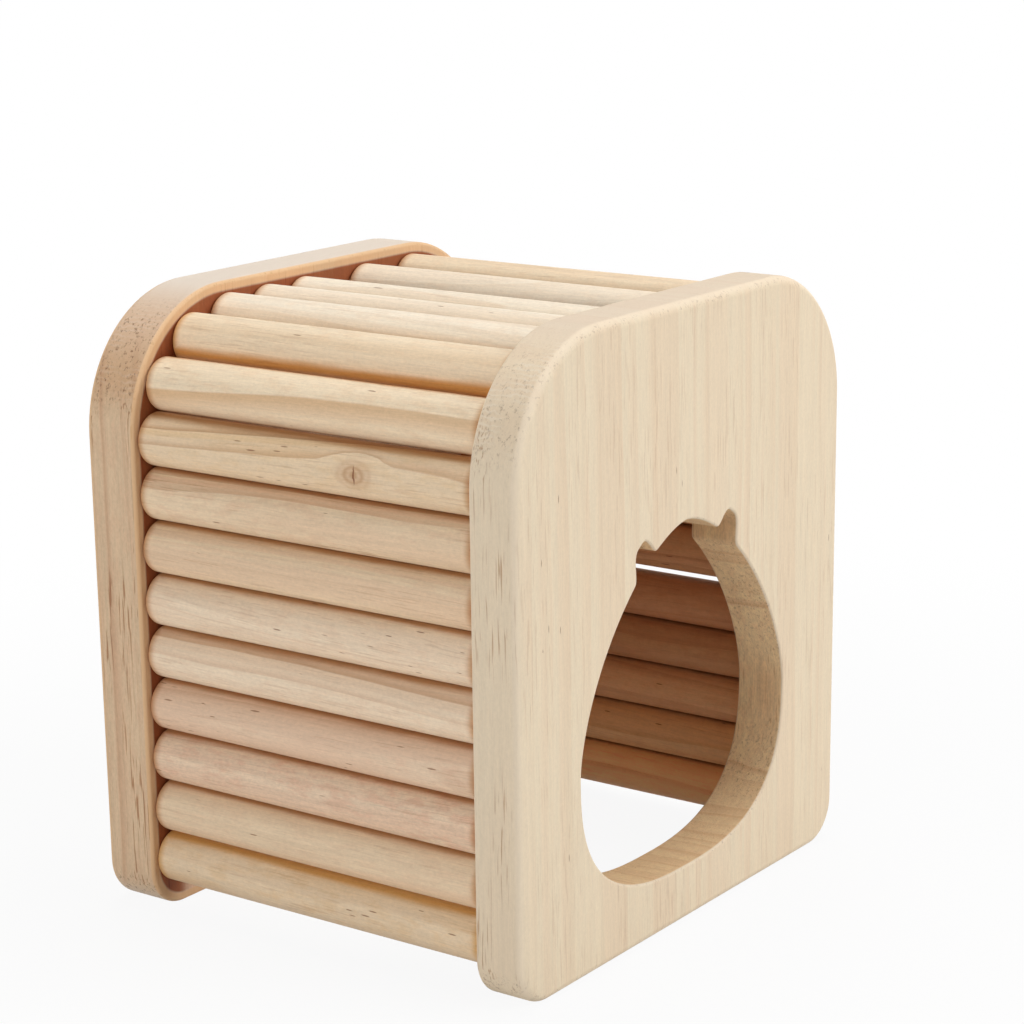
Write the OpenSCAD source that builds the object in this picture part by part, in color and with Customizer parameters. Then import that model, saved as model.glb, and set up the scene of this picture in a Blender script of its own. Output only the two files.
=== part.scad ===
// Hamster house: two shaped wooden boards joined by a tunnel of round dowels.
// Origin on the ground under the middle of the house. +Z up, the doorway faces -Y.

/* [Boards] */
// Width of each board, side to side
board_w = 130; // [130:1:160]
// Height of each board
board_h = 140; // [139:0.5:143]
// Thickness of the front board
front_t = 12; // [11:0.5:16]
// Thickness of the back board
back_t = 14; // [11:0.5:16]
// Depth of the house over both boards
house_depth = 116; // [90:1:180]
// Radius of the two upper corners of a board
shoulder_r = 31; // [28:1:34]
// Radius of the two lower corners of a board
foot_r = 10; // [4:1:13]
// Rounding along a board's edges on its outer face
edge_r = 2.2; // [1:0.1:3]
// Rounding along a board's edges on its inner face
inner_edge_r = 0.9; // [0.5:0.1:2]

/* [Doorway] */
// Half of the doorway's width at its widest
door_half_w = 41.4; // [30:0.2:42]
// Height of the widest point above the ground
door_mid_z = 45.4; // [42:0.2:50]
// Drop from the widest point to the sill
door_drop = 32.3; // [25:0.1:34]
// Rise from the widest point to the top of the head
door_rise = 46.8; // [36:0.1:48]
// Squareness of the lower half: 2 is an ellipse, more is squarer
door_foot_power = 2.65; // [2:0.05:3.5]
// Squareness of the upper half: less than 2 narrows towards the head
door_head_power = 1.6; // [1.4:0.05:2]
// Height of an ear above the head outline
ear_h = 5.5; // [0:0.1:8]
// Direction of an ear from the widest point, from the horizontal
ear_angle = 67.4; // [60:0.1:75]
// Half of the angle that an ear takes up
ear_spread = 4.6; // [3:0.1:7]
// Sideways place of the doorway, from the middle of the board
door_x = -1.4; // [-3:0.1:3]

/* [Dowels] */
// Diameter of a dowel
dowel_d = 11.9; // [10:0.1:12]
// Distance from a board's side to the middle of a wall dowel
wall_inset = 7.2; // [7:0.1:9.2]
// Distance from a board's top to the middle of a roof dowel
roof_inset = 8.5; // [8:0.1:9.2]
// Clearance between two dowels that lie side by side
dowel_gap = 0.15; // [0.05:0.05:0.2]
// Height of the lowest left dowel's middle above the ground
left_foot_z = 12.4; // [9:0.1:13.5]
// Height of the lowest right dowel's middle above the ground
right_foot_z = 9.1; // [9:0.1:12.5]
// Diameter of the five lowest right dowels
right_low_d = 11.3; // [10:0.1:12]
// Extra opening above the fifth dowel of the right wall
right_slit = 1.4; // [0:0.1:2]
// Sideways places of the three middle roof dowels
roof_x = [-19.5, -6.5, 16]; // [-19.5:0.5:19.5]
// Rounding of a dowel's shoulders
dowel_end_r = 0.9; // [0.5:0.1:1.8]

/* [Joints] */
// Diameter of the tenon turned on each dowel end
tenon_d = 8; // [5:0.5:8]
// Length of the tenon
tenon_len = 6; // [4:0.5:8]
// Radial clearance of a tenon in its blind hole
tenon_play = 0.05; // [0.02:0.01:0.2]
// Room for glue at the bottom of the blind hole
glue_room = 0.6; // [0.2:0.1:1]

/* [Hidden] */
wall_n = 10;
roof_n = 5;
low_n = 5;
front_face_y = -house_depth / 2 + front_t;
back_face_y = house_depth / 2 - back_t;
wall_x = board_w / 2 - wall_inset;
bend_across = shoulder_r - wall_inset;
bend_up = shoulder_r - roof_inset;
bend_x = board_w / 2 - shoulder_r;
bend_z = board_h - shoulder_r;
pitch = dowel_d + dowel_gap;
low_pitch = right_low_d + dowel_gap;
bend_turn = 2 * asin(pitch / (2 * min(bend_across, bend_up)));
round_fn = 64;
door_step = 3;
ear_step = 1;

// Place [x, z] on the bend, as far round it as turn
function on_bend(side, turn) =
    [side * (bend_x + bend_across * cos(turn)), bend_z + bend_up * sin(turn)];

// How far round the bend a dowel is that lies s up from foot_z. Each pitch takes bend_turn, so
// that neighbours keep their clearance there
function turn_at(foot_z, s) = (foot_z + s - bend_z) / pitch * bend_turn;

// Place [x, z] of a dowel that lies s up from foot_z along the wall and the bend
function along(side, foot_z, s) =
    let (turn = turn_at(foot_z, s))
    turn <= 0 ? [side * wall_x, foot_z + s] : on_bend(side, turn);

// Middles of the dowels, counted from the foot; 11 is the left corner and 12 the first of the roof
function left_at(i) = along(-1, left_foot_z, (i - 1) * pitch);

// The right wall starts with thinner dowels and goes on above its slit. Its corner dowel sits
// midway round the bend, between the wall and the roof
right_upper_z = right_foot_z + low_n * low_pitch + right_slit + (dowel_d - right_low_d) / 2;
right_corner_turn = (turn_at(right_upper_z, (wall_n - low_n - 1) * pitch) + 90) / 2;
function right_at(i) =
    i <= low_n ? [wall_x, right_foot_z + (i - 1) * low_pitch]
    : i <= wall_n ? along(1, right_upper_z, (i - low_n - 1) * pitch)
    : on_bend(1, right_corner_turn);
function roof_at(i) =
    i == 1 ? left_at(wall_n + 2)
    : i == roof_n ? on_bend(1, 90)
    : [roof_x[i - 2], board_h - roof_inset];

dowel_places = concat(
    [for (i = [1 : wall_n + 1]) left_at(i)],
    [for (i = [1 : wall_n + 1]) right_at(i)],
    [for (i = [1 : roof_n]) roof_at(i)]
);

// Distance from the doorway's middle to its edge in a direction: an egg with two ears
function egg(a, rise, power) =
    pow(pow(abs(cos(a)) / door_half_w, power) + pow(abs(sin(a)) / rise, power), -1 / power);
function ear(a) = ear_h * exp(-pow((a - ear_angle) / ear_spread, 4));
function door_radius(a) =
    a > 180 ? egg(a, door_drop, door_foot_power)
    : egg(a, door_rise, door_head_power) + ear(a) + ear(180 - a);
function by_an_ear(a) = abs(abs(a - 90) - (90 - ear_angle)) < 2 * ear_spread;
door_outline = [
    for (a = [0 : ear_step : 359])
        if (a % door_step == 0 || by_an_ear(a))
            door_radius(a) * [cos(a), sin(a)]
];

// Cross-section of the rim of a board t thick: w deep, with both edges rounded. Its inner
// face is at 0
module rim_profile(w, t) {
    square([w - edge_r, t]);
    translate([0, inner_edge_r]) square([w, t - inner_edge_r - edge_r]);
    square([w - inner_edge_r, t - edge_r]);
    translate([w - inner_edge_r, inner_edge_r]) circle(inner_edge_r, $fn = round_fn);
    translate([w - edge_r, t - edge_r]) circle(edge_r, $fn = round_fn);
}

module rim_corner(x, y, r, t, from) {
    translate([x, y, 0]) rotate([0, 0, from])
        rotate_extrude(angle = 90, $fn = 2 * round_fn) rim_profile(r, t);
}

module rim_edge(x, y, len, w, t, turn) {
    translate([x, y, 0]) rotate([0, 0, turn]) rotate([90, 0, 0])
        linear_extrude(len) rim_profile(w, t);
}

// A board t thick lying flat, foot towards -Y, with its inner face down
module flat_board(t) {
    side_len = board_h - shoulder_r - foot_r;
    foot_x = board_w / 2 - foot_r;
    translate([-foot_x, foot_r, 0]) cube([2 * foot_x, side_len, t]);
    rim_edge(foot_x, bend_z, side_len, foot_r, t, 0);
    rim_edge(-foot_x, foot_r, side_len, foot_r, t, 180);
    rim_edge(foot_x, foot_r, 2 * foot_x, foot_r, t, -90);
    rim_edge(-bend_x, bend_z, 2 * bend_x, shoulder_r, t, 90);
    rim_corner(bend_x, bend_z, shoulder_r, t, 0);
    rim_corner(-bend_x, bend_z, shoulder_r, t, 90);
    rim_corner(-foot_x, foot_r, foot_r, t, 180);
    rim_corner(foot_x, foot_r, foot_r, t, 270);
}

// Blind holes for the tenons, drilled into the inner face
module tenon_holes() {
    for (p = dowel_places)
        translate([p[0], p[1], -1])
            cylinder(h = tenon_len + glue_room + 1, d = tenon_d + 2 * tenon_play, $fn = round_fn);
}

module drilled_board(t) {
    difference() {
        flat_board(t);
        tenon_holes();
    }
}

module front_panel() {
    color([0.92, 0.85, 0.74]) translate([0, front_face_y, 0]) rotate([90, 0, 0])
        difference() {
            drilled_board(front_t);
            translate([door_x, door_mid_z, -1])
                linear_extrude(front_t + 2) polygon(door_outline);
        }
}

module back_panel() {
    color([0.84, 0.74, 0.63]) mirror([0, 1, 0])
        translate([0, -back_face_y, 0]) rotate([90, 0, 0]) drilled_board(back_t);
}

// A dowel between the boards, turned down to a tenon at each end
module dowel(place, d = dowel_d) {
    len = back_face_y - front_face_y;
    r = d / 2;
    translate([place[0], back_face_y, place[1]]) rotate([90, 0, 0]) rotate_extrude($fn = round_fn) {
        translate([0, -tenon_len]) square([tenon_d / 2, len + 2 * tenon_len]);
        square([r - dowel_end_r, len]);
        translate([0, dowel_end_r]) square([r, len - 2 * dowel_end_r]);
        for (y = [dowel_end_r, len - dowel_end_r])
            translate([r - dowel_end_r, y]) circle(dowel_end_r, $fn = round_fn);
    }
}

module left_dowel(i) {
    color(i % 3 == 1 ? [0.86, 0.76, 0.60] : [0.84, 0.74, 0.62]) dowel(left_at(i));
}

module right_dowel(i) {
    color(i % 2 == 0 ? [0.86, 0.76, 0.60] : [0.83, 0.73, 0.60])
        dowel(right_at(i), i <= low_n ? right_low_d : dowel_d);
}

module left_corner_dowel() {
    color([0.88, 0.78, 0.60]) dowel(left_at(wall_n + 1));
}

module right_corner_dowel() {
    color([0.88, 0.78, 0.60]) dowel(right_at(wall_n + 1));
}

module roof_dowel(i) {
    color(i % 2 == 0 ? [0.92, 0.85, 0.74] : [0.90, 0.81, 0.68]) dowel(roof_at(i));
}

front_panel();
back_panel();
for (i = [1 : wall_n]) {
    left_dowel(i);
    right_dowel(i);
}
left_corner_dowel();
right_corner_dowel();
for (i = [1 : roof_n])
    roof_dowel(i);
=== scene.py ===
import math

import bmesh
import bpy
from mathutils import Euler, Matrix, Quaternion, Vector


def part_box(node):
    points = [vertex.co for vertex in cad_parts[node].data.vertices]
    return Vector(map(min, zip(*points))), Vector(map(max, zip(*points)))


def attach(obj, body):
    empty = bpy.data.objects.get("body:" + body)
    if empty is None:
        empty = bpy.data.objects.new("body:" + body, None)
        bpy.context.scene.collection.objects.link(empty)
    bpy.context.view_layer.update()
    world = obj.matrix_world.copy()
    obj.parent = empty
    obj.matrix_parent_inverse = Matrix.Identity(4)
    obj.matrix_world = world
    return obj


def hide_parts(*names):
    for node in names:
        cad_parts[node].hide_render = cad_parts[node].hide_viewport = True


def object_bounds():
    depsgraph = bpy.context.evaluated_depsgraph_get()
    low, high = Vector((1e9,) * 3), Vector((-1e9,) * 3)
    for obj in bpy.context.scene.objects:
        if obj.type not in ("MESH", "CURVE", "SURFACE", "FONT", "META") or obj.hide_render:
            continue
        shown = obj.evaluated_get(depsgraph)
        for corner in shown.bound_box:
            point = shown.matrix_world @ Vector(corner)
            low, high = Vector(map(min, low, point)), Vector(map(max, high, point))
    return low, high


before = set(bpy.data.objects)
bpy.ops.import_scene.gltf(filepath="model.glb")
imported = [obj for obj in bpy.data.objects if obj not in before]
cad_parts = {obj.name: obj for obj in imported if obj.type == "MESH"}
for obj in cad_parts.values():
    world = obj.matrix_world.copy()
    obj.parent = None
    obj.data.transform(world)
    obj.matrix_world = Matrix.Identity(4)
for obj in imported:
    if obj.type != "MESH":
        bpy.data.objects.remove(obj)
cadBox = [list(corner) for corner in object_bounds()]
print("frame loaded:", len(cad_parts), "pieces")

mm = 0.001

frontBoard = {
    # radii as on the CAD board: its shoulders, its feet, its edges outside and inside
    "shoulder": 31 * mm, "foot": 10 * mm, "rim": 2.2 * mm, "innerRim": 0.9 * mm,
    "shoulderSteps": 40, "footSteps": 20, "rimSteps": 8, "innerRimSteps": 5,
    "doorX": -1.4 * mm, "doorZ": 45.4 * mm, "halfWidth": 41.4 * mm, "drop": 32.3 * mm, "rise": 46.8 * mm,
    "footPower": 2.65, "headPower": 1.6,
    "ear": 5.5 * mm, "earAngle": 67.4, "earSpread": 4.6,
    # the doorway's edges are eased, which the CAD board leaves out
    "doorSteps": 720, "doorRound": 0.7 * mm, "doorRoundSteps": 4,
    "tenonHole": 4.05 * mm, "glueRoom": 0.6 * mm, "drillSides": 48,
    "smoothBelow": 35,  # degrees between two faces
}
touching = 0.01 * mm  # a point this close to a face lies on it


def doorwayReach(b, degrees):
    # how far the doorway's edge is from its middle: an egg with two ears
    across, up = abs(math.cos(math.radians(degrees))), abs(math.sin(math.radians(degrees)))
    if degrees > 180:
        height, power = b["drop"], b["footPower"]
    else:
        height, power = b["rise"], b["headPower"]
    reach = ((across / b["halfWidth"]) ** power + (up / height) ** power) ** (-1 / power)
    if degrees <= 180:
        for side in (degrees, 180 - degrees):
            reach += b["ear"] * math.exp(-(((side - b["earAngle"]) / b["earSpread"]) ** 4))
    return reach


def offDoorway(b, at):
    # how far a point lies from the doorway's outline, seen from the front
    x, z = at.x - b["doorX"], at.z - b["doorZ"]
    return abs(math.hypot(x, z) - doorwayReach(b, math.degrees(math.atan2(z, x)) % 360))


def selectEdges(piece, wanted):
    # pick the edges whose middle and direction suit
    bpy.ops.mesh.select_mode(type="EDGE")
    bpy.ops.mesh.select_all(action="DESELECT")
    mesh = bmesh.from_edit_mesh(piece.data)
    for edge in mesh.edges:
        first, second = edge.verts[0].co, edge.verts[1].co
        edge.select_set(wanted((first + second) / 2, (second - first).normalized()))
    mesh.select_flush_mode()
    bmesh.update_edit_mesh(piece.data)


def cutAway(piece, cutter):
    # take the cutter's shape out of the piece
    bpy.ops.object.select_all(action="DESELECT")
    bpy.context.view_layer.objects.active = piece
    cut = piece.modifiers.new("cut", "BOOLEAN")
    cut.object = cutter
    cut.solver = "EXACT"
    bpy.ops.object.modifier_apply(modifier="cut")
    bpy.data.objects.remove(cutter)


def makeDoorCutter(b, front, back):
    # a disc shaped into the doorway's outline, pulled out through the board and past both faces
    spare = 5 * mm
    bpy.ops.object.select_all(action="DESELECT")
    bpy.ops.mesh.primitive_circle_add(vertices=b["doorSteps"], radius=b["halfWidth"], fill_type="NGON")
    cutter = bpy.context.object
    for number, point in enumerate(cutter.data.vertices):
        degrees = number * 360 / b["doorSteps"]
        reach, turn = doorwayReach(b, degrees), math.radians(degrees)
        point.co = (b["doorX"] + reach * math.cos(turn), front - spare, b["doorZ"] + reach * math.sin(turn))
    bpy.ops.object.mode_set(mode="EDIT")
    bpy.ops.mesh.select_all(action="SELECT")
    bpy.ops.mesh.extrude_region_move(TRANSFORM_OT_translate={"value": (0, back - front + 2 * spare, 0)})
    bpy.ops.mesh.select_all(action="SELECT")
    bpy.ops.mesh.normals_make_consistent(inside=False)
    bpy.ops.object.mode_set(mode="OBJECT")
    return cutter


def makeTenonCutter(b, back):
    # one short drill for each dowel, as deep as its tenon and the room for glue
    spare = 2 * mm
    bpy.ops.object.select_all(action="DESELECT")
    drills = []
    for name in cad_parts:
        if "dowel" not in name:
            continue
        low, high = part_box(name)
        depth = back - low[1] + b["glueRoom"]
        middle = ((low[0] + high[0]) / 2, back - depth / 2 + spare / 2, (low[2] + high[2]) / 2)
        bpy.ops.mesh.primitive_cylinder_add(
            vertices=b["drillSides"], radius=b["tenonHole"], depth=depth + spare, location=middle,
            rotation=(math.radians(90), 0, 0),
        )
        drills.append(bpy.context.object)
    for drill in drills:
        drill.select_set(True)
    bpy.ops.object.join()
    return bpy.context.object


frontFinishes = ["front_panel", "doorway"]  # its two materials; the second is the sawn inside


def makeFrontBoard(b):
    low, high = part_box("front_panel")
    front, back = low[1], high[1]
    bpy.ops.object.select_all(action="DESELECT")
    bpy.ops.mesh.primitive_cube_add(size=1)
    board = bpy.context.object
    board.name = "front_board"
    bpy.ops.object.mode_set(mode="EDIT")
    bpy.ops.transform.resize(value=(high[0] - low[0], back - front, high[2] - low[2]))
    bpy.ops.transform.translate(value=[(a + c) / 2 for a, c in zip(low, high)])
    middle = (low[2] + high[2]) / 2
    for corner, above in (("shoulder", True), ("foot", False)):
        selectEdges(board, lambda at, way: abs(way.y) > 0.9 and (at.z > middle) == above)
        bpy.ops.mesh.bevel(offset=b[corner], segments=b[corner + "Steps"], affect="EDGES")
    for edge, face in (("rim", front), ("innerRim", back)):
        selectEdges(board, lambda at, way: abs(way.y) < 0.1 and abs(at.y - face) < touching)
        bpy.ops.mesh.bevel(offset=b[edge], segments=b[edge + "Steps"], affect="EDGES")
    bpy.ops.object.mode_set(mode="OBJECT")
    cutAway(board, makeDoorCutter(b, front, back))
    bpy.ops.object.mode_set(mode="EDIT")

    def byTheDoor(at, way):
        onFace = min(abs(at.y - front), abs(at.y - back)) <= touching
        return onFace and abs(way.y) < 0.1 and offDoorway(b, at) < 0.15 * mm

    selectEdges(board, byTheDoor)
    bpy.ops.mesh.bevel(
        offset=b["doorRound"], segments=b["doorRoundSteps"], affect="EDGES", clamp_overlap=False
    )
    bpy.ops.object.mode_set(mode="OBJECT")
    cutAway(board, makeTenonCutter(b, back))
    bpy.ops.object.select_all(action="DESELECT")
    board.select_set(True)
    bpy.context.view_layer.objects.active = board
    bpy.ops.object.shade_smooth_by_angle(angle=math.radians(b["smoothBelow"]))
    board.modifiers.new("even", "WEIGHTED_NORMAL").keep_sharp = True
    bpy.ops.object.modifier_apply(modifier="even")
    for face in board.data.polygons:
        sawn = offDoorway(b, face.center) < 0.3 * mm and abs(face.normal.y) < 0.5
        face.material_index = frontFinishes.index("doorway" if sawn else "front_panel")
    print("front board:", len(board.data.vertices), "points")
    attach(board, "root")
    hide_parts("front_panel")
    return board


frontPiece = makeFrontBoard(frontBoard)


camera = {
    "place": (-0.4954, -0.3653, 0.2369),
    "aim": (-0.0014, -0.0110, 0.0715),
    "roll": -0.73,  # degrees, positive turns the picture clockwise
    "lens": 97.7,
    "shiftY": 0.068,
    "sees": (0.01, 20),  # nearest and farthest, in metres
}


def addCamera(c):
    data = bpy.data.cameras.new("camera")
    data.lens = c["lens"]
    data.shift_y = c["shiftY"]
    data.clip_start, data.clip_end = c["sees"]
    seen = bpy.data.objects.new("camera", data)
    bpy.context.scene.collection.objects.link(seen)
    look = Vector(c["aim"]) - Vector(c["place"])
    turn = look.to_track_quat("-Z", "Y")
    seen.location = c["place"]
    seen.rotation_mode = "QUATERNION"
    seen.rotation_quaternion = turn @ Quaternion((0, 0, 1), math.radians(c["roll"]))
    bpy.context.scene.camera = seen


lamps = {
    # a soft box high in front on the right, a low one on the left, one straight overhead
    "front": {"at": (0.5, -1.3, 0.8), "size": 0.9, "power": 14.5, "colour": (1.0, 0.99, 0.98)},
    "left": {"at": (-1.1, 0.05, 0.3), "size": 0.55, "power": 5.0, "colour": (1.0, 0.99, 0.98)},
    "top": {"at": (0.25, 0.1, 1.5), "size": 0.9, "power": 12.5, "colour": (1.0, 1.0, 1.0)},
}
lampsAim = Vector((0, 0, 0.06))  # a little below the middle of the house


def addLamps(settings):
    for name, s in settings.items():
        data = bpy.data.lights.new(name, "AREA")
        data.shape = "SQUARE"
        data.size = s["size"]
        data.energy = s["power"]
        data.color = s["colour"]
        lamp = bpy.data.objects.new(name, data)
        bpy.context.scene.collection.objects.link(lamp)
        lamp.location = s["at"]
        aim = lampsAim - Vector(s["at"])
        lamp.rotation_euler = aim.to_track_quat("-Z", "Y").to_euler()


def put(tree, kind, at=(0, 0), **settings):
    node = tree.nodes.new(kind)
    node.location = at
    for key, value in settings.items():
        setattr(node, key, value)
    return node


def feed(tree, socket, value):
    if isinstance(value, bpy.types.NodeSocket):
        tree.links.new(value, socket)
    else:
        socket.default_value = value


def maths(tree, operation, *values, clamp=False):
    node = put(tree, "ShaderNodeMath", operation=operation, use_clamp=clamp)
    for socket, value in zip(node.inputs, values):
        feed(tree, socket, value)
    return node.outputs[0]


def vectorMaths(tree, operation, *values):
    node = put(tree, "ShaderNodeVectorMath", operation=operation)
    for socket, value in zip(node.inputs, values):
        feed(tree, socket, value)
    return node.outputs["Value" if operation in ("LENGTH", "DOT_PRODUCT") else "Vector"]


def scaled(tree, vector, factor):
    node = put(tree, "ShaderNodeVectorMath", operation="SCALE")
    feed(tree, node.inputs[0], vector)
    feed(tree, node.inputs["Scale"], factor)
    return node.outputs[0]


def apart(tree, vector):
    node = put(tree, "ShaderNodeSeparateXYZ")
    feed(tree, node.inputs[0], vector)
    return node.outputs


def ramp(tree, value, low, high, outLow=0.0, outHigh=1.0):
    node = put(tree, "ShaderNodeMapRange", interpolation_type="SMOOTHSTEP")
    for socket, number in zip(node.inputs, (value, low, high, outLow, outHigh)):
        feed(tree, socket, number)
    return node.outputs[0]


def between(tree, value, rise, fall):
    # 1 from the end of rise to the start of fall, 0 before and after them
    return maths(tree, "MULTIPLY", ramp(tree, value, *rise), ramp(tree, value, *fall, 1.0, 0.0))


def noise(tree, vector, scale, detail=2.0, rough=0.5):
    node = put(tree, "ShaderNodeTexNoise")
    feed(tree, node.inputs["Vector"], vector)
    feed(tree, node.inputs["Scale"], scale)
    feed(tree, node.inputs["Detail"], detail)
    feed(tree, node.inputs["Roughness"], rough)
    return node


def noiseAlong(tree, value, scale):
    # noise that changes with one number only
    node = put(tree, "ShaderNodeTexNoise", noise_dimensions="1D")
    feed(tree, node.inputs["W"], value)
    feed(tree, node.inputs["Scale"], scale)
    feed(tree, node.inputs["Detail"], 1.0)
    return node.outputs[0]


def blendColours(tree, share, first, second, mode="MIX"):
    node = put(tree, "ShaderNodeMix", data_type="RGBA", blend_type=mode)
    for socket, value in ((node.inputs[0], share), (node.inputs[6], first), (node.inputs[7], second)):
        feed(tree, socket, value)
    return node.outputs[2]


def newGroup(name, inputs, outputs):
    tree = bpy.data.node_groups.new(name, "ShaderNodeTree")
    for label, kind, value in inputs:
        socket = tree.interface.new_socket(label, in_out="INPUT", socket_type="NodeSocket" + kind)
        if value is not None:
            socket.default_value = value
    for label, kind in outputs:
        tree.interface.new_socket(label, in_out="OUTPUT", socket_type="NodeSocket" + kind)
    return tree, tree.nodes.new("NodeGroupInput").outputs, tree.nodes.new("NodeGroupOutput").inputs


# Every wood group takes a Vector in millimetres with the fibres along Z and the
# pith of the tree on the Z axis.

white = (1, 1, 1, 1)
marks = {
    "line": (0.62, 0.46, 0.36, 1),  # multiplies the wood's colour, the others take its place
    "dash": (0.26, 0.1, 0.04, 1),
    "pore": (0.24, 0.12, 0.06, 1),
    "saw": (0.86, 0.8, 0.7, 1),
}
seedStep = (17.3, 31.7, 5.1)  # how far one more in the seed moves a noise


def seeded(tree, given, stretch):
    # the vector squeezed along the fibres and moved by the seed, for a noise to read
    squeezed = vectorMaths(tree, "MULTIPLY", given["Vector"], (1, 1, stretch))
    return vectorMaths(tree, "ADD", squeezed, scaled(tree, seedStep, given["Seed"]))


def makeKnot():
    # one knot: how near it is, its dark heart and the crack across it
    tree, given, result = newGroup(
        "knot",
        [("Vector", "Vector", None), ("Place", "Vector", None), ("Size", "Float", 0.0),
         ("Seed", "Float", 0.0)],
        [("Near", "Float"), ("Heart", "Float"), ("Crack", "Float")],
    )
    shake = noise(tree, seeded(tree, given, 0.6), 0.6, 2.0, 0.6)
    centred = vectorMaths(tree, "SUBTRACT", shake.outputs["Color"], (0.5, 0.5, 0.5))
    offset = vectorMaths(tree, "SUBTRACT", given["Vector"], given["Place"])
    offset = vectorMaths(tree, "ADD", offset, centred)
    there = maths(tree, "GREATER_THAN", given["Size"], 0.0)
    size = maths(tree, "MAXIMUM", given["Size"], 0.001)
    oval = vectorMaths(tree, "LENGTH", vectorMaths(tree, "MULTIPLY", offset, (1, 1, 0.7)))
    away = maths(tree, "DIVIDE", oval, size)
    arcs = maths(tree, "MULTIPLY_ADD", maths(tree, "SINE", maths(tree, "MULTIPLY", away, 14.0)), 0.25, 0.75)
    heart = maths(tree, "MULTIPLY", ramp(tree, away, 0.3, 1.5, 1.0, 0.0), arcs)
    feed(tree, result["Near"], maths(tree, "MULTIPLY", ramp(tree, away, 0.0, 2.6, 1.0, 0.0), there))
    feed(tree, result["Heart"], maths(tree, "MULTIPLY", heart, there))
    slit = vectorMaths(tree, "LENGTH", vectorMaths(tree, "MULTIPLY", offset, (0.09, 0.09, 0.75)))
    feed(tree, result["Crack"], maths(tree, "MULTIPLY", ramp(tree, slit, 0.1, 0.24, 1.0, 0.0), there))
    return tree


def makeGrowthRings():
    tree, given, result = newGroup(
        "growth rings",
        [("Vector", "Vector", None), ("Ring Width", "Float", 3.0), ("Wobble", "Float", 2.0),
         ("Bulge", "Float", 0.0), ("Seed", "Float", 0.0)],
        [("Late Wood", "Float"), ("Ring Tone", "Float"), ("Band", "Float")],
    )
    moved = given["Vector"]
    for stretch, scale, reach in ((0.2, 0.05, 4.0), (0.12, 0.3, 0.45)):  # slow drift, then small waves
        waves = noise(tree, seeded(tree, given, stretch), scale, 1.0, 0.5)
        centred = vectorMaths(tree, "SUBTRACT", waves.outputs["Color"], (0.5, 0.5, 0.5))
        shift = scaled(tree, centred, maths(tree, "MULTIPLY", given["Wobble"], reach))
        moved = vectorMaths(tree, "ADD", moved, shift)
    flat = vectorMaths(tree, "MULTIPLY", moved, (1, 1, 0))
    distance = maths(tree, "ADD", vectorMaths(tree, "LENGTH", flat), given["Bulge"])
    rings = maths(tree, "DIVIDE", distance, given["Ring Width"])
    years = noiseAlong(tree, maths(tree, "ADD", rings, given["Seed"]), 0.45)  # wide and narrow ones
    rings = maths(tree, "MULTIPLY_ADD", years, 1.8, rings)
    part = maths(tree, "FRACT", rings)
    fall = ramp(tree, part, 0.94, 1.0, 1.0, 0.0)
    tones = noiseAlong(tree, maths(tree, "SUBTRACT", rings, given["Seed"]), 0.7)
    feed(tree, result["Late Wood"], maths(tree, "MULTIPLY", ramp(tree, part, 0.6, 0.93), fall))
    feed(tree, result["Ring Tone"], ramp(tree, tones, 0.35, 0.65))
    feed(tree, result["Band"], maths(tree, "MULTIPLY", ramp(tree, part, 0.1, 0.9), fall))
    return tree


def makeFibres():
    tree, given, result = newGroup(
        "fibres",
        [("Vector", "Vector", None), ("Seed", "Float", 0.0)],
        [("Streak", "Float"), ("Hair", "Float"), ("Line", "Float"), ("Fuzz", "Float"), ("Mottle", "Float")],
    )
    streak = noise(tree, seeded(tree, given, 0.03), 0.8, 2.0, 0.6)
    hair = noise(tree, seeded(tree, given, 0.05), 3.2, 2.0, 0.7)
    line = noise(tree, seeded(tree, given, 0.045), 2.2, 1.0, 0.5)
    fuzz = noise(tree, seeded(tree, given, 0.6), 1.7, 3.0, 0.75)
    mottle = noise(tree, seeded(tree, given, 0.4), 0.4, 3.0, 0.65)
    patch = noise(tree, seeded(tree, given, 0.25), 0.12, 0.0)
    broken = ramp(tree, patch.outputs[0], 0.4, 0.62)
    feed(tree, result["Streak"], streak.outputs[0])
    feed(tree, result["Hair"], hair.outputs[0])
    feed(tree, result["Line"], maths(tree, "MULTIPLY", ramp(tree, line.outputs[0], 0.59, 0.68), broken))
    feed(tree, result["Fuzz"], fuzz.outputs[0])
    feed(tree, result["Mottle"], mottle.outputs[0])
    return tree


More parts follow.
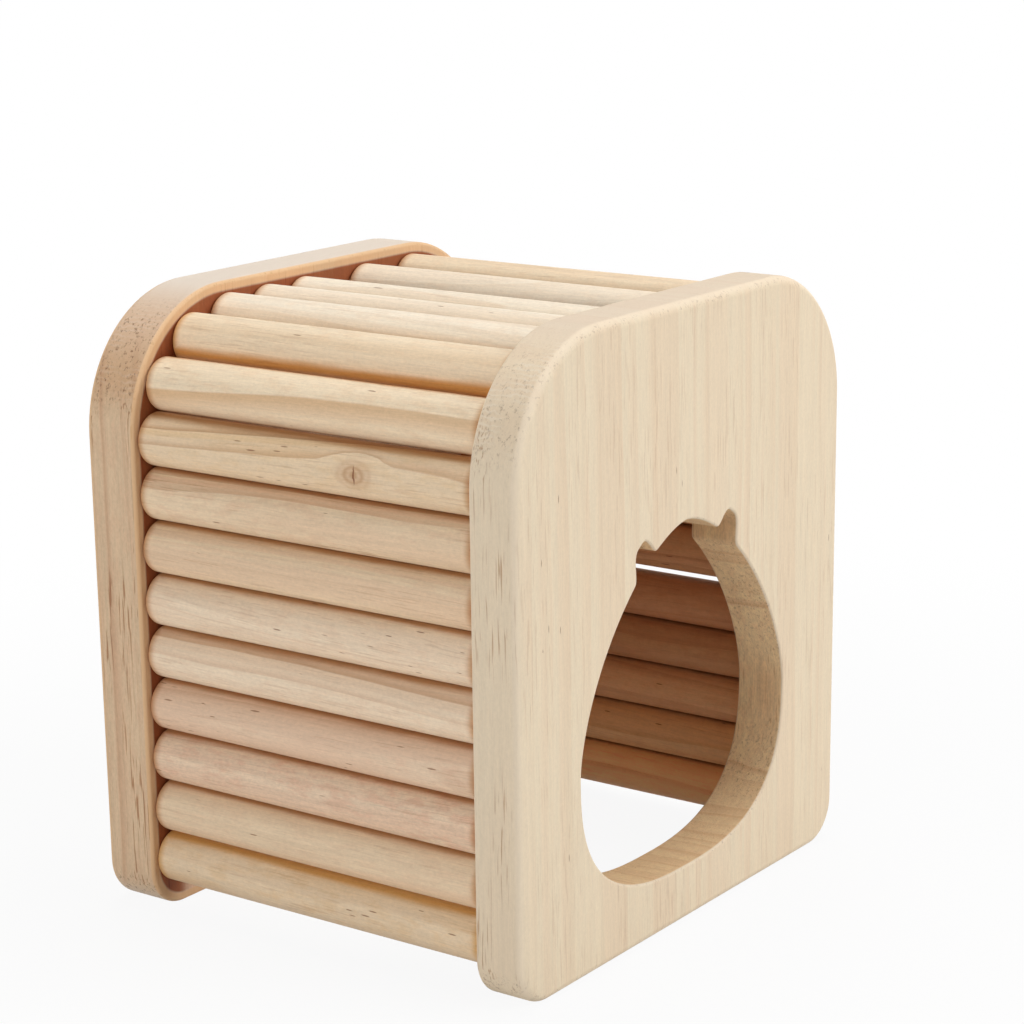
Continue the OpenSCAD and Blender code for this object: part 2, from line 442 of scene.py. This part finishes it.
def makeFlecks():
    # resin canals that the tool has cut open: short dark dashes, in loose clusters
    tree, given, result = newGroup(
        "flecks",
        [("Vector", "Vector", None), ("Density", "Float", 0.1), ("Cluster", "Vector", None),
         ("Cluster Reach", "Float", 0.0), ("Seed", "Float", 0.0)],
        [("Fleck", "Float")],
    )
    spots = put(tree, "ShaderNodeTexVoronoi", feature="F1")
    feed(tree, spots.inputs["Vector"], seeded(tree, given, 0.14))
    feed(tree, spots.inputs["Scale"], 0.9)
    colour = put(tree, "ShaderNodeSeparateColor")
    feed(tree, colour.inputs[0], spots.outputs["Color"])
    size = maths(tree, "MULTIPLY_ADD", colour.outputs["Green"], 0.13, 0.09)
    edge = maths(tree, "SUBTRACT", 1.0, maths(tree, "DIVIDE", spots.outputs["Distance"], size), clamp=True)
    patch = noise(tree, seeded(tree, given, 0.3), 0.09, 0.0)
    share = maths(tree, "MULTIPLY", ramp(tree, patch.outputs[0], 0.35, 0.65, 0.1, 2.0), given["Density"])
    offset = vectorMaths(tree, "SUBTRACT", given["Vector"], given["Cluster"])
    away = vectorMaths(tree, "LENGTH", vectorMaths(tree, "MULTIPLY", offset, (1.6, 1.6, 0.5)))
    reach = maths(tree, "MAXIMUM", given["Cluster Reach"], 0.001)
    crowd = ramp(tree, maths(tree, "DIVIDE", away, reach), 0.3, 1.0, 0.8, 0.0)
    chosen = maths(tree, "LESS_THAN", colour.outputs["Red"], maths(tree, "ADD", share, crowd))
    feed(tree, result["Fleck"], maths(tree, "MULTIPLY", ramp(tree, edge, 0.0, 0.5), chosen))
    return tree


def makeTimber(knots, growthRings, fibres, flecks):
    tree, given, result = newGroup(
        "timber",
        [
            ("Vector", "Vector", None),
            ("Normal", "Vector", None),  # in the same turned space as Vector
            ("Early", "Color", (0.8, 0.66, 0.48, 1)),
            ("Late", "Color", (0.6, 0.4, 0.25, 1)),
            ("Blush", "Color", (0.72, 0.5, 0.38, 1)),
            ("End", "Color", (0.6, 0.45, 0.3, 1)),
            ("Ring Width", "Float", 3.0),
            ("Ring Strength", "Float", 0.35),
            ("Wobble", "Float", 2.0),
            ("Blush Share", "Float", 0.3),
            ("Streak Strength", "Float", 0.4),
            ("Line Strength", "Float", 0.3),
            ("Mottle Strength", "Float", 0.4),
            ("Fleck Density", "Float", 0.1),
            ("Cluster", "Vector", None),
            ("Cluster Reach", "Float", 0.0),
            ("Knot", "Vector", None),
            ("Knot Size", "Float", 0.0),
            ("End Grain Strength", "Float", 0.5),
            ("Seed", "Float", 0.0),
        ],
        [("Colour", "Color"), ("Roughness", "Float"), ("Height", "Float")],
    )
    knotNode = put(tree, "ShaderNodeGroup", node_tree=knots)
    ringNode = put(tree, "ShaderNodeGroup", node_tree=growthRings)
    fibreNode = put(tree, "ShaderNodeGroup", node_tree=fibres)
    fleckNode = put(tree, "ShaderNodeGroup", node_tree=flecks)
    for node in (knotNode, ringNode, fibreNode, fleckNode):
        feed(tree, node.inputs["Vector"], given["Vector"])
        feed(tree, node.inputs["Seed"], given["Seed"])
    feed(tree, knotNode.inputs["Place"], given["Knot"])
    feed(tree, knotNode.inputs["Size"], given["Knot Size"])
    near, heart, crack = (knotNode.outputs[n] for n in ("Near", "Heart", "Crack"))
    feed(tree, ringNode.inputs["Ring Width"], given["Ring Width"])
    feed(tree, ringNode.inputs["Wobble"], given["Wobble"])
    bulge = maths(tree, "MULTIPLY", near, given["Knot Size"])
    feed(tree, ringNode.inputs["Bulge"], maths(tree, "MULTIPLY", bulge, 1.8))
    feed(tree, fleckNode.inputs["Density"], given["Fleck Density"])
    feed(tree, fleckNode.inputs["Cluster"], given["Cluster"])
    feed(tree, fleckNode.inputs["Cluster Reach"], given["Cluster Reach"])
    late, tone, band = (ringNode.outputs[n] for n in ("Late Wood", "Ring Tone", "Band"))
    streak, hair, line = (fibreNode.outputs[n] for n in ("Streak", "Hair", "Line"))
    fuzz, mottle = (fibreNode.outputs[n] for n in ("Fuzz", "Mottle"))
    fleck = fleckNode.outputs["Fleck"]

    # rings that take the pinkish tone as a whole, and clouds of it along the fibres
    cloud = noise(tree, seeded(tree, given, 0.2), 0.08, 1.0, 0.5)
    blush = maths(tree, "MULTIPLY", ramp(tree, cloud.outputs[0], 0.38, 0.66), band)
    blush = maths(tree, "MAXIMUM", blush, ramp(tree, tone, 0.5, 1.0))
    blush = maths(tree, "MULTIPLY", blush, given["Blush Share"])
    spots = maths(tree, "MULTIPLY", ramp(tree, mottle, 0.42, 0.66), given["Mottle Strength"])
    colour = blendColours(tree, maths(tree, "MAXIMUM", blush, spots), given["Early"], given["Blush"])

    # each ring darkens towards a thin line of late wood, some more than others
    weight = maths(tree, "MULTIPLY_ADD", band, 0.35, maths(tree, "MULTIPLY", late, 0.65))
    weight = maths(tree, "MULTIPLY", weight, maths(tree, "MULTIPLY_ADD", tone, 0.6, 0.4))
    strength = maths(tree, "MULTIPLY_ADD", near, 0.25, given["Ring Strength"])
    weight = maths(tree, "MULTIPLY", weight, strength, clamp=True)
    colour = blendColours(tree, weight, colour, given["Late"])

    # fibres: broad streaks, fine hairs and a dry, fuzzy surface
    bright = maths(tree, "MULTIPLY", maths(tree, "SUBTRACT", streak, 0.5), 0.4)
    bright = maths(tree, "MULTIPLY_ADD", maths(tree, "SUBTRACT", hair, 0.5), 0.5, bright)
    bright = maths(tree, "MULTIPLY_ADD", maths(tree, "SUBTRACT", fuzz, 0.5), 0.6, bright)
    bright = maths(tree, "MULTIPLY_ADD", bright, given["Streak Strength"], 1.0)
    gain = put(tree, "ShaderNodeCombineColor")
    for socket in gain.inputs:
        feed(tree, socket, bright)
    colour = blendColours(tree, 1.0, colour, gain.outputs[0], "MULTIPLY")

    # long thin brown lines, short dark dashes and the knot
    thin = maths(tree, "MULTIPLY", line, given["Line Strength"])
    colour = blendColours(tree, thin, colour, marks["line"], "MULTIPLY")
    colour = blendColours(tree, maths(tree, "MULTIPLY", heart, 0.75), colour, given["Late"])
    dark = maths(tree, "MULTIPLY", fleck, 0.75)
    dark = maths(tree, "MAXIMUM", dark, maths(tree, "MULTIPLY", crack, 0.95))
    colour = blendColours(tree, dark, colour, marks["dash"])

    # end grain has its own tone, and pores where the fibres come out at a slant
    upright = maths(tree, "ABSOLUTE", apart(tree, given["Normal"])["Z"])
    end = ramp(tree, upright, 0.15, 0.95)
    slope = between(tree, upright, (0.1, 0.4), (0.75, 0.97))
    pores = noise(tree, seeded(tree, given, 0.7), 1.1, 3.0, 0.8)
    pore = ramp(tree, pores.outputs[0], 0.54, 0.68)
    share = maths(tree, "MULTIPLY", end, given["End Grain Strength"])
    colour = blendColours(tree, share, colour, given["End"])
    torn = maths(tree, "MULTIPLY", pore, maths(tree, "MULTIPLY", slope, given["End Grain Strength"]))
    colour = blendColours(tree, maths(tree, "MULTIPLY", torn, 0.9), colour, marks["pore"])
    feed(tree, result["Colour"], colour)

    rough = maths(tree, "MULTIPLY_ADD", hair, 0.25, 0.46)
    rough = maths(tree, "MULTIPLY_ADD", end, 0.15, rough)
    feed(tree, result["Roughness"], rough)

    height = maths(tree, "MULTIPLY_ADD", hair, 0.5, maths(tree, "MULTIPLY", late, 0.3))
    height = maths(tree, "MULTIPLY_ADD", fuzz, 0.5, height)
    height = maths(tree, "MULTIPLY_ADD", dark, -0.3, height)
    height = maths(tree, "MULTIPLY_ADD", line, -0.15, height)
    height = maths(tree, "MULTIPLY_ADD", torn, -0.4, height)
    feed(tree, result["Height"], height)
    return tree


def fromMidway(tree, where, inner):
    # how far a point lies from midway between the boards' inner faces
    return maths(tree, "ABSOLUTE", maths(tree, "SUBTRACT", where["Y"], sum(inner) / 2))


def makeBoardFinishAndShade(inner, b, side, top):
    # a board's narrow sides and its two bends, both with painted shade, the saw's fine lines on the bends,
    # its top with a painted sheen, the rounds along its edges, worn and with a painted highlight, and its
    # inner face, with a painted highlight along the rim and painted shade where the dowels shut it in
    tree, given, result = newGroup(
        "board finish and painted shade",
        [("Colour", "Color", None), ("Height", "Float", 0.0), ("Vector", "Vector", None),
         ("Normal", "Vector", None), ("Place", "Vector", None), ("Side", "Color", white),
         ("Bend Shade", "Color", white), ("Top", "Color", white), ("Worn And Lit", "Color", (0.8, 0.6, 0.4, 1)),
         ("Wear And Highlight", "Float", 0.0), ("Saw Marks", "Float", 0.0), ("Painted Corner Shade", "Color", white)],
        [("Colour", "Color"), ("Height", "Float")],
    )
    facing = apart(tree, given["Normal"])
    where = apart(tree, given["Place"])
    sideways = maths(tree, "ABSOLUTE", facing["X"])
    across = maths(tree, "ABSOLUTE", facing["Y"])
    # painted shade: the narrow sides a little darker
    colour = blendColours(tree, ramp(tree, sideways, 0.6, 0.95), given["Colour"], given["Side"], "MULTIPLY")

    turn = maths(tree, "ARCTAN2", facing["Z"], sideways)
    bend = between(tree, turn, (0.1, 0.5), (0.9, 1.5))
    bend = maths(tree, "MULTIPLY", bend, ramp(tree, across, 0.1, 0.5, 1.0, 0.0))
    # painted shade on the two bends
    colour = blendColours(tree, bend, colour, given["Bend Shade"], "MULTIPLY")
    # painted sheen: the top's colour cooled, like a reflection of the white backdrop
    topSheen = maths(tree, "MULTIPLY", ramp(tree, turn, 0.9, 1.45), ramp(tree, across, 0.1, 0.5, 1.0, 0.0))
    colour = blendColours(tree, topSheen, colour, given["Top"], "MULTIPLY")
    shake = noise(tree, given["Vector"], 0.35, 2.0, 0.6)
    angle = maths(tree, "MULTIPLY_ADD", shake.outputs[0], 0.09, turn)
    teeth = maths(tree, "SINE", maths(tree, "MULTIPLY", angle, 150.0))
    patch = noise(tree, given["Vector"], 0.12, 1.0, 0.5)
    scored = maths(tree, "MULTIPLY", bend, ramp(tree, patch.outputs[0], 0.35, 0.6))
    scored = maths(tree, "MULTIPLY", maths(tree, "MULTIPLY", teeth, scored), given["Saw Marks"])
    light = maths(tree, "MULTIPLY", scored, 0.3, clamp=True)
    colour = blendColours(tree, light, colour, marks["saw"])

    # the rounds take the worn colour: partly wear, partly a painted highlight
    rounded = between(tree, across, (0.08, 0.45), (0.7, 0.99))
    colour = blendColours(tree, maths(tree, "MULTIPLY", rounded, given["Wear And Highlight"]), colour, given["Worn And Lit"])

    # how far a point lies inside the board's outline, in mm: by its shoulders, then by its feet too
    offSide = maths(tree, "ABSOLUTE", where["X"])
    insets = []
    for radius, up, reach in ((b["shoulder"], 1.0, top - b["shoulder"]), (b["foot"], -1.0, -b["foot"])):
        acrossOut = maths(tree, "SUBTRACT", offSide, side - radius)
        upOut = maths(tree, "SUBTRACT", maths(tree, "MULTIPLY", where["Z"], up), reach)
        out = put(tree, "ShaderNodeCombineXYZ")
        feed(tree, out.inputs["X"], maths(tree, "MAXIMUM", acrossOut, 0.0))
        feed(tree, out.inputs["Y"], maths(tree, "MAXIMUM", upOut, 0.0))
        beyond = vectorMaths(tree, "LENGTH", out.outputs[0])
        insets.append(maths(tree, "MULTIPLY_ADD", beyond, -1 / mm, radius / mm))
    inset = insets[0]
    nearest = maths(tree, "MINIMUM", inset, insets[1])
    half = (inner[1] - inner[0]) / 2
    depth = fromMidway(tree, where, inner)
    flat = ramp(tree, depth, half + 0.5 * mm, half + 0.9 * mm, 1.0, 0.0)
    flat = maths(tree, "MULTIPLY", flat, ramp(tree, across, 0.5, 0.95))
    # painted highlight on the inner face along the rim, partly wear
    rim = maths(tree, "MULTIPLY", flat, ramp(tree, nearest, 1.8, 2.4, 1.0, 0.0))
    colour = blendColours(tree, maths(tree, "MULTIPLY", rim, given["Wear And Highlight"]), colour, given["Worn And Lit"])
    # painted shade on the inner face where the dowels shut it in
    cornerShade = maths(tree, "MULTIPLY", ramp(tree, nearest, 1.9, 2.6), ramp(tree, inset, 8.0, 13.0, 1.0, 0.0))
    cornerShade = maths(tree, "MULTIPLY", cornerShade, flat)
    colour = blendColours(tree, cornerShade, colour, given["Painted Corner Shade"], "MULTIPLY")
    feed(tree, result["Colour"], colour)
    feed(tree, result["Height"], maths(tree, "MULTIPLY_ADD", scored, 0.5, given["Height"]))
    return tree


def makeDowelShade(inner):
    # painted shade: a dowel darkens where it faces its neighbours and close to the boards,
    # and painted light makes it redder towards the inside of the house
    tree, given, result = newGroup(
        "dowel painted shade and light",
        [("Colour", "Color", None), ("Height", "Float", 0.0), ("Vector", "Vector", None),
         ("Normal", "Vector", None), ("Place", "Vector", None), ("Outward", "Vector", None),
         ("Crevice Shade", "Color", (0.62, 0.4, 0.24, 1)), ("Inside", "Color", (1.12, 0.88, 0.66, 1))],
        [("Colour", "Color"), ("Height", "Float")],
    )
    out = vectorMaths(tree, "DOT_PRODUCT", given["Normal"], given["Outward"])
    shake = noise(tree, vectorMaths(tree, "MULTIPLY", given["Vector"], (1, 1, 0.1)), 0.4, 2.0, 0.6)
    shift = maths(tree, "SUBTRACT", shake.outputs[0], 0.5)
    beside = maths(tree, "MULTIPLY_ADD", shift, 0.3, maths(tree, "ABSOLUTE", out))
    # painted shade where the dowel faces its neighbours
    dark = ramp(tree, beside, 0.05, 0.42, 1.0, 0.0)
    depth = fromMidway(tree, apart(tree, given["Place"]), inner)
    half = (inner[1] - inner[0]) / 2
    # painted shade close to the boards
    dark = maths(tree, "MAXIMUM", dark, ramp(tree, depth, half - 2.8 * mm, half - 0.1 * mm))
    # painted light: redder towards the inside of the house, as light bounced off the wood there would make
    # it
    paintedLightInside = ramp(tree, maths(tree, "MULTIPLY", out, -1.0), 0.0, 0.5)
    colour = blendColours(tree, paintedLightInside, given["Colour"], given["Inside"], "MULTIPLY")
    colour = blendColours(tree, dark, colour, given["Crevice Shade"], "MULTIPLY")
    feed(tree, result["Colour"], colour)
    feed(tree, result["Height"], given["Height"])
    return tree


innerFaces = (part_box("front_panel")[1][1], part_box("back_panel")[0][1])
timber = makeTimber(makeKnot(), makeGrowthRings(), makeFibres(), makeFlecks())
boardFinishAndShade = makeBoardFinishAndShade(innerFaces, frontBoard, cadBox[1][0], cadBox[1][2])
dowelShade = makeDowelShade(innerFaces)
print("shader groups built")

surface = {"specular": 0.3, "bumpDepth": 0.15 * mm}


def woodMaterial(name, w):
    material = bpy.data.materials.new(name)
    material.use_nodes = True
    tree = material.node_tree
    tree.nodes.clear()
    where = put(tree, "ShaderNodeTexCoord", (-1400, 0))
    facing = put(tree, "ShaderNodeNewGeometry", (-1400, -300))
    turn = Euler([math.radians(a) for a in w["turn"]])
    place = put(tree, "ShaderNodeMapping", (-1200, 0))
    feed(tree, place.inputs["Vector"], where.outputs["Object"])
    place.inputs["Rotation"].default_value = turn
    place.inputs["Location"].default_value = w["pith"]
    place.inputs["Scale"].default_value = (1 / mm, 1 / mm, 1 / mm)
    turned = put(tree, "ShaderNodeMapping", (-1200, -300), vector_type="NORMAL")
    feed(tree, turned.inputs["Vector"], facing.outputs["Normal"])
    turned.inputs["Rotation"].default_value = turn
    wood = put(tree, "ShaderNodeGroup", (-900, 0), node_tree=timber)
    feed(tree, wood.inputs["Vector"], place.outputs[0])
    feed(tree, wood.inputs["Normal"], turned.outputs[0])
    for label, value in w["wood"].items():
        if label in ("Knot", "Cluster"):  # given where they are on the house
            value = turn.to_matrix() @ Vector(value) + Vector(w["pith"])
        wood.inputs[label].default_value = value
    if "sideLines" in w:  # more lines on the narrow sides of a board
        side = maths(tree, "ABSOLUTE", apart(tree, facing.outputs["Normal"])["X"])
        lines = ramp(tree, side, 0.6, 0.95, w["wood"]["Line Strength"], w["sideLines"])
        feed(tree, wood.inputs["Line Strength"], lines)
    finishAndShade = put(tree, "ShaderNodeGroup", (-600, 0), node_tree=w["group"])
    feed(tree, finishAndShade.inputs["Colour"], wood.outputs["Colour"])
    feed(tree, finishAndShade.inputs["Height"], wood.outputs["Height"])
    feed(tree, finishAndShade.inputs["Vector"], place.outputs[0])
    feed(tree, finishAndShade.inputs["Normal"], facing.outputs["Normal"])
    feed(tree, finishAndShade.inputs["Place"], where.outputs["Object"])
    for label, value in w["finishAndShade"].items():
        finishAndShade.inputs[label].default_value = value
    bump = put(tree, "ShaderNodeBump", (-350, -250))
    bump.inputs["Strength"].default_value = w["bump"]
    bump.inputs["Distance"].default_value = surface["bumpDepth"]
    feed(tree, bump.inputs["Height"], finishAndShade.outputs["Height"])
    skin = put(tree, "ShaderNodeBsdfPrincipled", (-100, 0))
    skin.inputs["Specular IOR Level"].default_value = surface["specular"]
    feed(tree, skin.inputs["Base Color"], finishAndShade.outputs["Colour"])
    feed(tree, skin.inputs["Roughness"], wood.outputs["Roughness"])
    feed(tree, skin.inputs["Normal"], bump.outputs[0])
    out = put(tree, "ShaderNodeOutputMaterial", (250, 0))
    feed(tree, out.inputs[0], skin.outputs[0])
    return material


def srgb(red, green, blue):
    shades = [c / 255 for c in (red, green, blue)]
    return [c / 12.92 if c <= 0.04045 else ((c + 0.055) / 1.055) ** 2.4 for c in shades] + [1]


ivory = {"Early": srgb(245, 231, 209), "Late": srgb(214, 178, 136), "Blush": srgb(238, 214, 186),
         "End": srgb(232, 214, 188)}
cream = {"Early": srgb(238, 221, 193), "Late": srgb(204, 164, 122), "Blush": srgb(233, 204, 174),
         "End": srgb(232, 214, 188)}
beige = {"Early": srgb(232, 208, 176), "Late": srgb(184, 138, 98), "Blush": srgb(220, 182, 150),
         "End": srgb(196, 152, 112)}
pink = {"Early": srgb(230, 204, 176), "Late": srgb(186, 138, 106), "Blush": srgb(221, 181, 153),
        "End": srgb(232, 214, 194)}
oat = {"Early": srgb(238, 217, 190), "Late": srgb(192, 148, 110), "Blush": srgb(228, 197, 168),
       "End": srgb(196, 152, 112)}
straw = {"Early": srgb(240, 220, 190), "Late": srgb(208, 168, 122), "Blush": srgb(230, 198, 162),
         "End": srgb(212, 176, 134)}
sawn = {"Early": srgb(250, 226, 182), "Late": srgb(200, 148, 96), "Blush": srgb(234, 198, 156),
        "End": srgb(232, 196, 150)}
paintedCornerShade = (0.42, 0.17, 0.08, 1)  # painted shade: what is left of the wood's colour in a closed corner that little light reaches
goldenCreviceShade = (0.7, 0.43, 0.18, 1)  # the same painted shade, between dowels whose wood is yellower

# turn: how the tree lay in the piece, in degrees. pith: where its middle ran, in millimetres
frontCut = {"turn": (0, 0.6, 0), "pith": (170, 60, 0), "group": boardFinishAndShade}
boards = {
    "front_panel": {
        **frontCut, "bump": 0.3, "sideLines": 0.8,
        "finishAndShade": {"Side": srgb(244, 243, 243), "Bend Shade": srgb(252, 250, 248), "Top": srgb(245, 244, 248),
                   "Worn And Lit": srgb(238, 222, 200), "Wear And Highlight": 0.35, "Saw Marks": 0.9, "Painted Corner Shade": paintedCornerShade},
        "wood": {**cream, "Ring Width": 6.5, "Ring Strength": 0.1, "Wobble": 1.4, "Blush Share": 0.32,
                 "Streak Strength": 0.32, "Line Strength": 0.25, "Mottle Strength": 0.1,
                 "Fleck Density": 0.015, "Cluster": (-55, -58, 92), "Cluster Reach": 14,
                 "End Grain Strength": 0.5, "Seed": 3.0},
    },
    "doorway": {  # the sawn inside of the doorway
        **frontCut, "bump": 0.7, "finishAndShade": {},
        "wood": {**sawn, "Ring Width": 3.8, "Ring Strength": 0.4, "Wobble": 0.9, "Blush Share": 0.6,
                 "Streak Strength": 0.9, "Line Strength": 0.5, "Mottle Strength": 0.5,
                 "Fleck Density": 0.08, "End Grain Strength": 0.5, "Seed": 3.0},
    },
    "back_panel": {
        "turn": (0, 0, 0), "pith": (-35, 150, 0), "bump": 0.4, "sideLines": 1.5, "group": boardFinishAndShade,
        "finishAndShade": {"Side": srgb(240, 236, 226), "Bend Shade": srgb(240, 225, 211), "Top": (0.97, 1.02, 1.08, 1),
                   "Worn And Lit": srgb(228, 186, 138), "Wear And Highlight": 0.75, "Saw Marks": 0.4, "Painted Corner Shade": paintedCornerShade},
        "wood": {**pink, "Ring Width": 3.4, "Ring Strength": 0.3, "Wobble": 2.0, "Blush Share": 0.6,
                 "Streak Strength": 0.6, "Line Strength": 0.5, "Mottle Strength": 0.3,
                 "Fleck Density": 0.08, "Knot": (22, 58, 88), "Knot Size": 4.0,
                 "End Grain Strength": 0.9, "Seed": 8.0},
    },
}


def dowelWood(name, shade, heart=None, outward=(-0.98, 0, -0.2), finishAndShade=None, **changes):
    # every dowel is sawn from its own place in a tree: heart says which way the tree's
    # middle lies, sideways and up, and how many millimetres off
    number = len(dowels) + 1
    seed = 11.0 + 7.3 * number
    wood = {**shade, "Ring Width": 3.4 + 0.6 * (number % 3), "Ring Strength": 0.3, "Wobble": 2.2,
            "Blush Share": 0.4, "Streak Strength": 0.5, "Line Strength": 0.25, "Mottle Strength": 0.4,
            "Fleck Density": 0.04, "End Grain Strength": 0.5, "Seed": seed}
    for key, value in changes.items():
        wood[key.replace("_", " ")] = value
    side, up, away = heart or (math.cos(number * 2.4), math.sin(number * 2.4), 26 + 9 * (number % 4))
    turn = (90 + 1.5 * math.sin(seed), 1.2 * math.cos(seed * 1.7), 0)
    low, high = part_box(name)
    middle = Vector([(a + b) / 2 / mm for a, b in zip(low, high)])
    middle.rotate(Euler([math.radians(a) for a in turn]))
    dowels[name] = {
        "turn": turn, "pith": (-side * away - middle.x, up * away - middle.y, 37.0 * number),
        "bump": 0.4, "group": dowelShade, "finishAndShade": {"Outward": outward, **(finishAndShade or {})}, "wood": wood,
    }


dowels = {}
# dowel 1's painted crevice shade is more golden
dowelWood("left_dowel_1", {**beige, "Blush": srgb(222, 186, 138)}, heart=(0.2, 1.0, 40), Ring_Width=8.0,
          Blush_Share=0.7, outward=(-0.94, 0, -0.34), finishAndShade={"Crevice Shade": (0.78, 0.56, 0.28, 1)},
          Cluster=(-63, -30, 14), Cluster_Reach=13)
dowelWood("left_dowel_2", beige, Ring_Strength=0.12, Mottle_Strength=0.25)
dowelWood("left_dowel_3", pink, Ring_Strength=0.15, Mottle_Strength=0.7, Streak_Strength=0.7)
dowelWood("left_dowel_4", pink, Cluster=(-63, 35, 49), Cluster_Reach=15, Fleck_Density=0.1)
dowelWood("left_dowel_5", oat, heart=(0.5, 0.9, 33), Ring_Strength=0.6, Ring_Width=5.5, Blush_Share=0.45)
dowelWood("left_dowel_6", oat, Ring_Strength=0.2, Blush_Share=0.2, Fleck_Density=0.06,
          Cluster=(-63, -20, 72), Cluster_Reach=20)
dowelWood("left_dowel_7", beige, Ring_Strength=0.1, Fleck_Density=0.01, Mottle_Strength=0.25)
dowelWood("left_dowel_8", beige, Line_Strength=0.6, Ring_Strength=0.45, Blush_Share=0.65,
          Fleck_Density=0.08)
dowelWood("left_dowel_9", {**beige, "Blush": srgb(226, 194, 150)}, heart=(0.2, 1.0, 32), Ring_Strength=0.85,
          Ring_Width=9.0, Wobble=3.0, Blush_Share=0.65, Knot=(-63.5, -16, 109.0), Knot_Size=3.0,
          Cluster=(-63, 4, 110), Cluster_Reach=12)
dowelWood("left_dowel_10", straw, heart=(0.4, -0.9, 42.2), Ring_Strength=0.75, Ring_Width=9.0,
          Blush_Share=0.7, outward=(-0.97, 0, 0.24))
dowelWood("left_corner_dowel", straw, heart=(0.3, 1.0, 30), Ring_Strength=0.15, Ring_Width=8.0,
          Blush_Share=0.25, Fleck_Density=0.02, outward=(-0.34, 0, 0.94), finishAndShade={"Crevice Shade": goldenCreviceShade})
dowelWood("roof_dowel_1", ivory, Ring_Strength=0.2, outward=(-0.2, 0, 0.98))
dowelWood("roof_dowel_2", ivory, Cluster=(-20, -10, 137), Cluster_Reach=14, outward=(0, 0, 1))
dowelWood("roof_dowel_3", ivory, Ring_Strength=0.2, Mottle_Strength=0.25, outward=(0, 0, 1))
dowelWood("roof_dowel_4", ivory, Ring_Strength=0.25, outward=(0, 0, 1))
dowelWood("roof_dowel_5", straw, Ring_Strength=0.2, outward=(0, 0, 1))
dowelWood("right_corner_dowel", straw, outward=(0.7, 0, 0.7))
# painted light and shade: the right dowels whose inner sides, seen through the doorway, are lit lighter or
# darker than the rest
insideLightTints = {1: (1.45, 1.18, 0.9, 1), 4: (0.84, 0.58, 0.42, 1),
           5: (0.8, 0.5, 0.36, 1), 6: (0.98, 0.74, 0.54, 1)}
for step in range(1, 11):
    shade = (pink, beige, straw)[step % 3]
    inside = {"Inside": insideLightTints[step]} if step in insideLightTints else None
    knot = {"Knot": (52, 14, 44), "Knot_Size": 2.4} if step == 4 else {}
    dowelWood(f"right_dowel_{step}", shade, outward=(1, 0, 0), finishAndShade=inside,
              Ring_Strength=0.4 + 0.05 * (step % 4), **knot)


def dress(name, settings):
    material = woodMaterial(name + " wood", settings)
    if name in frontFinishes:
        frontPiece.data.materials.append(material)
        return
    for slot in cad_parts[name].material_slots:
        slot.material = material


for name, settings in {**boards, **dowels}.items():
    dress(name, settings)
print("wood on", len(dowels), "dowels and two boards")


def seenItself(tree):
    # 1 for the rays that show a thing itself, straight, in a reflection or through glass
    rays = put(tree, "ShaderNodeLightPath")
    seen = maths(tree, "MAXIMUM", rays.outputs["Is Camera Ray"], rays.outputs["Is Glossy Ray"])
    return maths(tree, "MAXIMUM", seen, rays.outputs["Is Transmission Ray"])


# the camera sees mostly plain white: the share near up to start, all of it from reach, in metres
floorLook = {"size": 6, "colour": (0.7, 0.7, 0.7, 1), "near": 0.92, "start": 0.08, "reach": 0.35}


def floorMaterial(f):
    material = bpy.data.materials.new("pale floor")
    material.use_nodes = True
    tree = material.node_tree
    tree.nodes.clear()
    matt = put(tree, "ShaderNodeBsdfDiffuse")
    matt.inputs["Color"].default_value = f["colour"]
    shine = put(tree, "ShaderNodeEmission")
    shine.inputs["Color"].default_value = white
    where = put(tree, "ShaderNodeTexCoord")
    away = vectorMaths(tree, "LENGTH", where.outputs["Object"])
    glow = ramp(tree, away, f["start"], f["reach"], f["near"], 1.0)
    mix = put(tree, "ShaderNodeMixShader")
    feed(tree, mix.inputs[0], maths(tree, "MULTIPLY", seenItself(tree), glow))
    feed(tree, mix.inputs[1], matt.outputs[0])
    feed(tree, mix.inputs[2], shine.outputs[0])
    out = put(tree, "ShaderNodeOutputMaterial")
    feed(tree, out.inputs[0], mix.outputs[0])
    return material


def addFloor(f):
    bpy.ops.object.select_all(action="DESELECT")
    bpy.ops.mesh.primitive_plane_add(size=f["size"], location=(0, 0, 0))
    floor = bpy.context.object
    floor.name = "floor"
    floor.data.materials.append(floorMaterial(f))


def lightWorld(strength):
    # faint light from all round, in front of a plain white backdrop
    world = bpy.data.worlds.new("studio")
    bpy.context.scene.world = world
    world.use_nodes = True
    tree = world.node_tree
    tree.nodes.clear()
    around = put(tree, "ShaderNodeBackground")
    around.inputs["Color"].default_value = white
    around.inputs["Strength"].default_value = strength
    backdrop = put(tree, "ShaderNodeBackground")
    backdrop.inputs["Color"].default_value = white
    mix = put(tree, "ShaderNodeMixShader")
    out = put(tree, "ShaderNodeOutputWorld")
    feed(tree, mix.inputs[0], seenItself(tree))
    feed(tree, mix.inputs[1], around.outputs[0])
    feed(tree, mix.inputs[2], backdrop.outputs[0])
    feed(tree, out.inputs[0], mix.outputs[0])


addCamera(camera)
addFloor(floorLook)
addLamps(lamps)
lightWorld(strength=0.15)
bpy.context.scene.view_settings.view_transform = "Standard"
print("camera, floor and light set")
